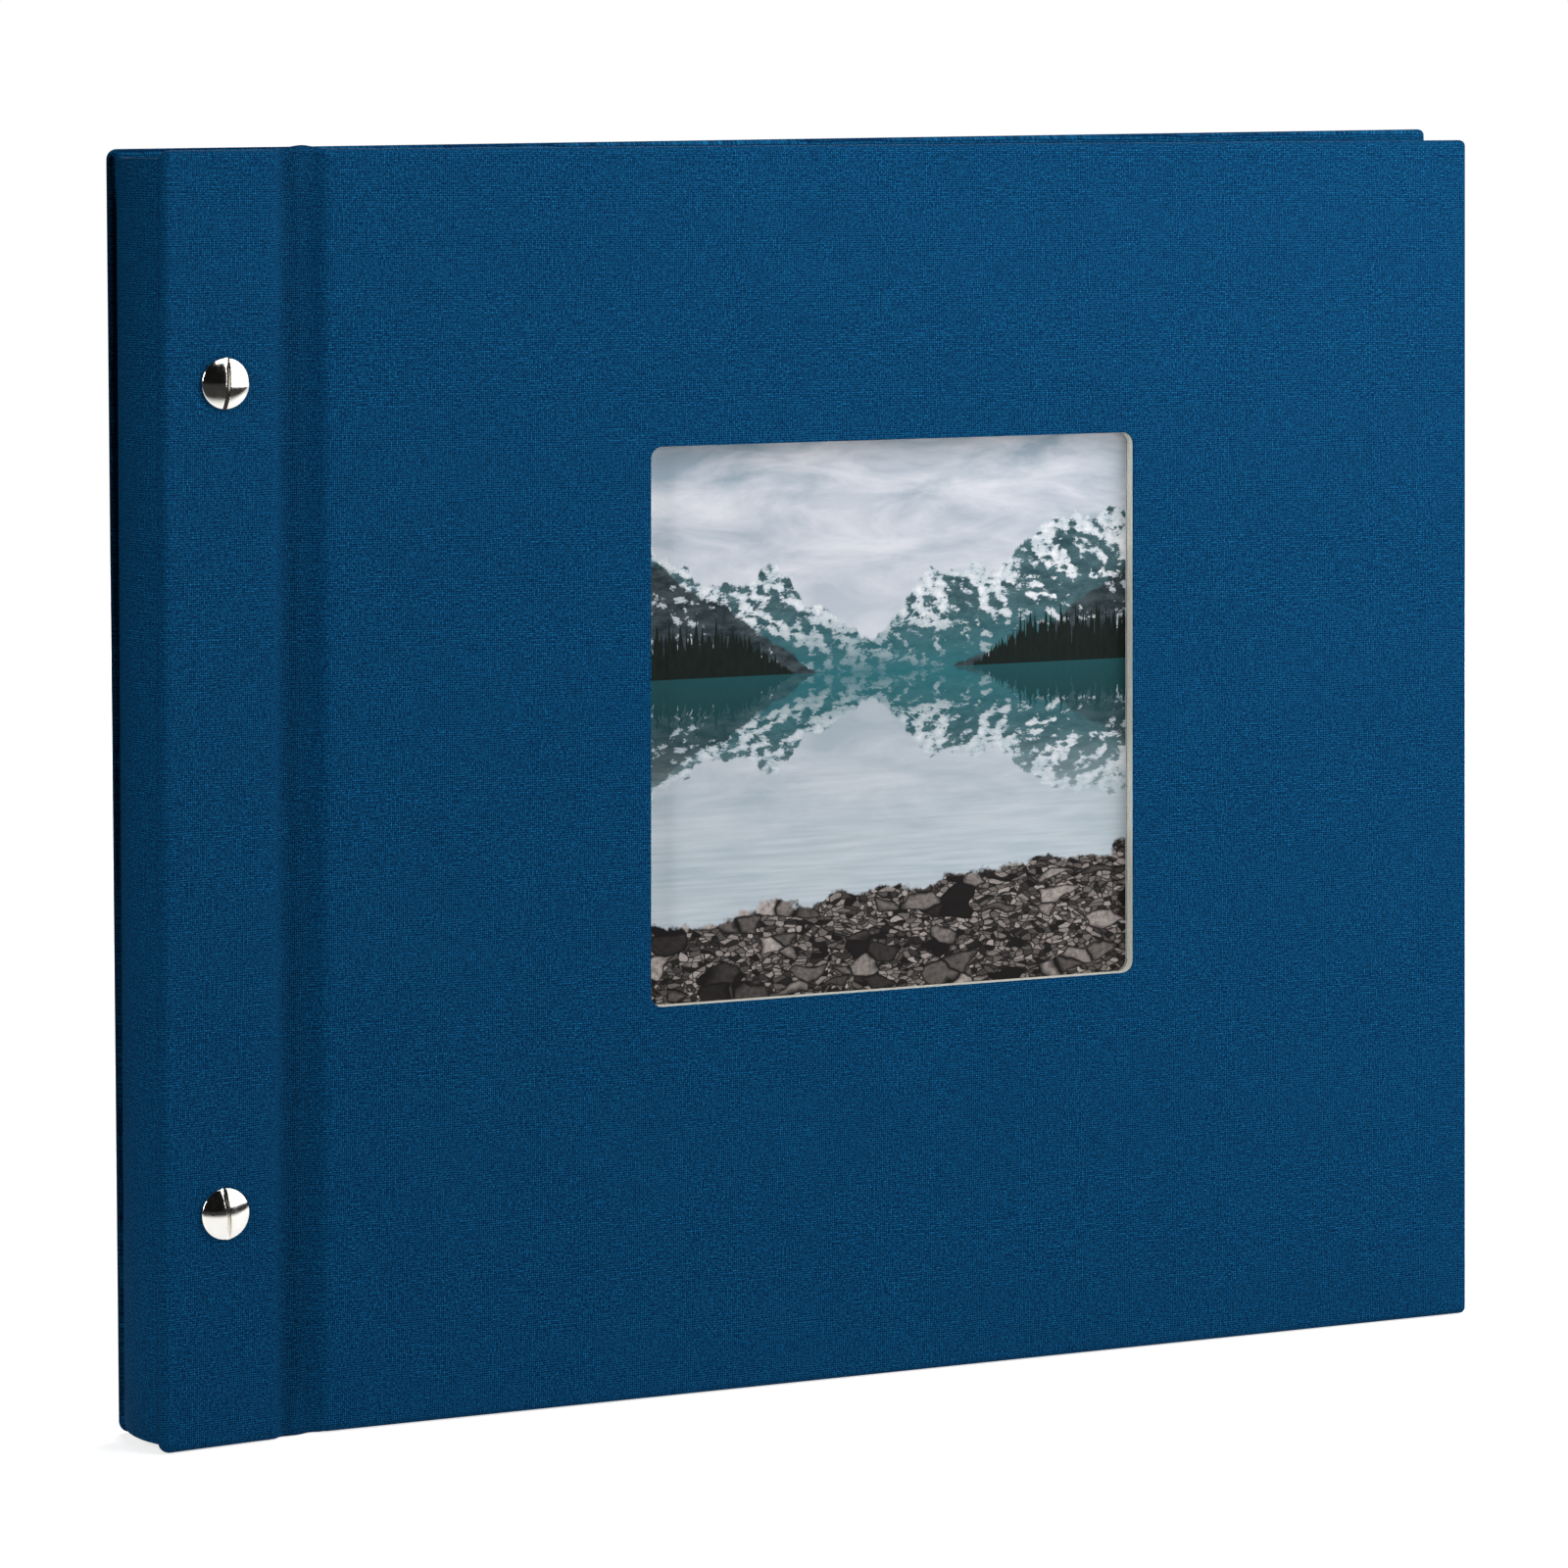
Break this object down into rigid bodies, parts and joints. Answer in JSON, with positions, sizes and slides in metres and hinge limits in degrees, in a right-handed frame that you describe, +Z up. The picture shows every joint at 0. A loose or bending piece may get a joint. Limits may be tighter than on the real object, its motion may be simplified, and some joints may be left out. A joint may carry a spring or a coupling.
{
  "type": "scrapbook album",
  "caption": "Landscape scrapbook album: hinged cloth-covered covers, a square window in the front, and screw posts that hold removable card leaves with tissue interleaves.",
  "frame": {"origin": "middle of the footprint, on the surface that the album stands on", "axes": "+X from the spine to the fore edge, +Y from the front cover to the back cover, +Z up"},
  "size_m": [0.3036, 0.027, 0.25],
  "materials": {
    "book_cloth": "matt woven linen book cloth, dyed blue",
    "grey_board": "raw compressed grey board",
    "leaf_card": "uncoated ivory card",
    "glassine": "translucent tissue",
    "lining_paper": "uncoated ivory paper",
    "photo_paper": "satin photographic print",
    "nickel": "polished nickel plate"
  },
  "bodies": {
    "binding": {"front_strip_board": "grey_board", "front_strip_cloth": "book_cloth", "spine_flap_board": "grey_board", "back_strip_board": "grey_board", "back_strip_cloth": "book_cloth", "leaf_stubs": "leaf_card", "interleaf_stubs": "glassine"},
    "front_cover": {"front_cover_board": "grey_board", "front_cover_cloth": "book_cloth", "front_cover_infill": "grey_board", "front_cover_lining": "lining_paper", "print_pocket": "lining_paper"},
    "back_cover": {"back_cover_board": "grey_board", "back_cover_cloth": "book_cloth", "back_cover_infill": "grey_board", "back_cover_lining": "lining_paper"},
    "window_print": {"window_print": "photo_paper"},
    "upper_post": {"upper_binding_post": "nickel"},
    "upper_screw": {"upper_binding_screw": "nickel"},
    "lower_post": {"lower_binding_post": "nickel"},
    "lower_screw": {"lower_binding_screw": "nickel"},
    "leaf_01": {"leaf_01": "leaf_card", "interleaf_01": "glassine"},
    "leaf_02": {"leaf_02": "leaf_card", "interleaf_02": "glassine"},
    "leaf_03": {"leaf_03": "leaf_card", "interleaf_03": "glassine"},
    "leaf_04": {"leaf_04": "leaf_card", "interleaf_04": "glassine"},
    "leaf_05": {"leaf_05": "leaf_card", "interleaf_05": "glassine"},
    "leaf_06": {"leaf_06": "leaf_card", "interleaf_06": "glassine"},
    "leaf_07": {"leaf_07": "leaf_card", "interleaf_07": "glassine"},
    "leaf_08": {"leaf_08": "leaf_card", "interleaf_08": "glassine"},
    "leaf_09": {"leaf_09": "leaf_card", "interleaf_09": "glassine"},
    "leaf_10": {"leaf_10": "leaf_card", "interleaf_10": "glassine"},
    "leaf_11": {"leaf_11": "leaf_card", "interleaf_11": "glassine"},
    "leaf_12": {"leaf_12": "leaf_card", "interleaf_12": "glassine"},
    "leaf_13": {"leaf_13": "leaf_card", "interleaf_13": "glassine"},
    "leaf_14": {"leaf_14": "leaf_card", "interleaf_14": "glassine"},
    "leaf_15": {"leaf_15": "leaf_card", "interleaf_15": "glassine"},
    "leaf_16": {"leaf_16": "leaf_card", "interleaf_16": "glassine"}
  },
  "joints": [
    {"name": "front_cover_open", "type": "hinge", "parent": "binding", "child": "front_cover", "pos_m": [-0.1202, -0.01101, 0.125], "axis": [0, 0, -1], "range_deg": [0, 178]},
    {"name": "back_cover_open", "type": "hinge", "parent": "binding", "child": "back_cover", "pos_m": [-0.1202, 0.01163, 0.125], "axis": [0, 0, 1], "range_deg": [0, 178]},
    {"name": "leaf_01_turn", "type": "hinge", "parent": "binding", "child": "leaf_01", "pos_m": [-0.1202, -0.01101, 0.125], "axis": [0, 0, -1], "range_deg": [0, 158.23]},
    {"name": "leaf_02_turn", "type": "hinge", "parent": "binding", "child": "leaf_02", "pos_m": [-0.1202, -0.01101, 0.125], "axis": [0, 0, -1], "range_deg": [0, 138.45]},
    {"name": "leaf_03_turn", "type": "hinge", "parent": "binding", "child": "leaf_03", "pos_m": [-0.1202, -0.01101, 0.125], "axis": [0, 0, -1], "range_deg": [0, 118.68]},
    {"name": "leaf_04_turn", "type": "hinge", "parent": "binding", "child": "leaf_04", "pos_m": [-0.1202, -0.01101, 0.125], "axis": [0, 0, -1], "range_deg": [0, 98.9]},
    {"name": "leaf_05_turn", "type": "hinge", "parent": "binding", "child": "leaf_05", "pos_m": [-0.1202, -0.01101, 0.125], "axis": [0, 0, -1], "range_deg": [0, 79.12]},
    {"name": "leaf_06_turn", "type": "hinge", "parent": "binding", "child": "leaf_06", "pos_m": [-0.1202, -0.01101, 0.125], "axis": [0, 0, -1], "range_deg": [0, 59.34]},
    {"name": "leaf_07_turn", "type": "hinge", "parent": "binding", "child": "leaf_07", "pos_m": [-0.1202, -0.01101, 0.125], "axis": [0, 0, -1], "range_deg": [0, 39.57]},
    {"name": "leaf_08_turn", "type": "hinge", "parent": "binding", "child": "leaf_08", "pos_m": [-0.1202, -0.01101, 0.125], "axis": [0, 0, -1], "range_deg": [0, 19.79]},
    {"name": "leaf_09_turn", "type": "hinge", "parent": "binding", "child": "leaf_09", "pos_m": [-0.1202, 0.01163, 0.125], "axis": [0, 0, 1], "range_deg": [0, 19.79]},
    {"name": "leaf_10_turn", "type": "hinge", "parent": "binding", "child": "leaf_10", "pos_m": [-0.1202, 0.01163, 0.125], "axis": [0, 0, 1], "range_deg": [0, 39.57]},
    {"name": "leaf_11_turn", "type": "hinge", "parent": "binding", "child": "leaf_11", "pos_m": [-0.1202, 0.01163, 0.125], "axis": [0, 0, 1], "range_deg": [0, 59.34]},
    {"name": "leaf_12_turn", "type": "hinge", "parent": "binding", "child": "leaf_12", "pos_m": [-0.1202, 0.01163, 0.125], "axis": [0, 0, 1], "range_deg": [0, 79.12]},
    {"name": "leaf_13_turn", "type": "hinge", "parent": "binding", "child": "leaf_13", "pos_m": [-0.1202, 0.01163, 0.125], "axis": [0, 0, 1], "range_deg": [0, 98.9]},
    {"name": "leaf_14_turn", "type": "hinge", "parent": "binding", "child": "leaf_14", "pos_m": [-0.1202, 0.01163, 0.125], "axis": [0, 0, 1], "range_deg": [0, 118.68]},
    {"name": "leaf_15_turn", "type": "hinge", "parent": "binding", "child": "leaf_15", "pos_m": [-0.1202, 0.01163, 0.125], "axis": [0, 0, 1], "range_deg": [0, 138.45]},
    {"name": "leaf_16_turn", "type": "hinge", "parent": "binding", "child": "leaf_16", "pos_m": [-0.1202, 0.01163, 0.125], "axis": [0, 0, 1], "range_deg": [0, 158.23]},
    {"name": "upper_post_turn", "type": "hinge", "parent": "binding", "child": "upper_post", "pos_m": [-0.1368, 0.01144, 0.205], "axis": [0, -1, 0], "range_deg": [-3601, 0]},
    {"name": "upper_screw_withdraw", "type": "slide", "parent": "binding", "child": "upper_screw", "axis": [0, 1, 0], "range_m": [-0.007, 0]},
    {"name": "lower_post_turn", "type": "hinge", "parent": "binding", "child": "lower_post", "pos_m": [-0.1368, 0.01144, 0.045], "axis": [0, -1, 0], "range_deg": [-3601, 0]},
    {"name": "lower_screw_withdraw", "type": "slide", "parent": "binding", "child": "lower_screw", "axis": [0, 1, 0], "range_m": [-0.007, 0]},
    {"name": "window_print_slide", "type": "slide", "parent": "front_cover", "child": "window_print", "axis": [0, 0, 1], "range_m": [0, 0.12]}
  ],
  "couplings": [
    {"joint": "leaf_01_turn", "follows": "front_cover_open", "ratio": 0.88889},
    {"joint": "leaf_02_turn", "follows": "front_cover_open", "ratio": 0.77778},
    {"joint": "leaf_03_turn", "follows": "front_cover_open", "ratio": 0.66667},
    {"joint": "leaf_04_turn", "follows": "front_cover_open", "ratio": 0.55556},
    {"joint": "leaf_05_turn", "follows": "front_cover_open", "ratio": 0.44444},
    {"joint": "leaf_06_turn", "follows": "front_cover_open", "ratio": 0.33333},
    {"joint": "leaf_07_turn", "follows": "front_cover_open", "ratio": 0.22222},
    {"joint": "leaf_08_turn", "follows": "front_cover_open", "ratio": 0.11111},
    {"joint": "leaf_09_turn", "follows": "back_cover_open", "ratio": 0.11111},
    {"joint": "leaf_10_turn", "follows": "back_cover_open", "ratio": 0.22222},
    {"joint": "leaf_11_turn", "follows": "back_cover_open", "ratio": 0.33333},
    {"joint": "leaf_12_turn", "follows": "back_cover_open", "ratio": 0.44444},
    {"joint": "leaf_13_turn", "follows": "back_cover_open", "ratio": 0.55556},
    {"joint": "leaf_14_turn", "follows": "back_cover_open", "ratio": 0.66667},
    {"joint": "leaf_15_turn", "follows": "back_cover_open", "ratio": 0.77778},
    {"joint": "leaf_16_turn", "follows": "back_cover_open", "ratio": 0.88889},
    {"joint": "upper_post_turn", "follows": "upper_screw_withdraw", "rad_per_m": 8976},
    {"joint": "lower_post_turn", "follows": "lower_screw_withdraw", "rad_per_m": 8976}
  ]
}
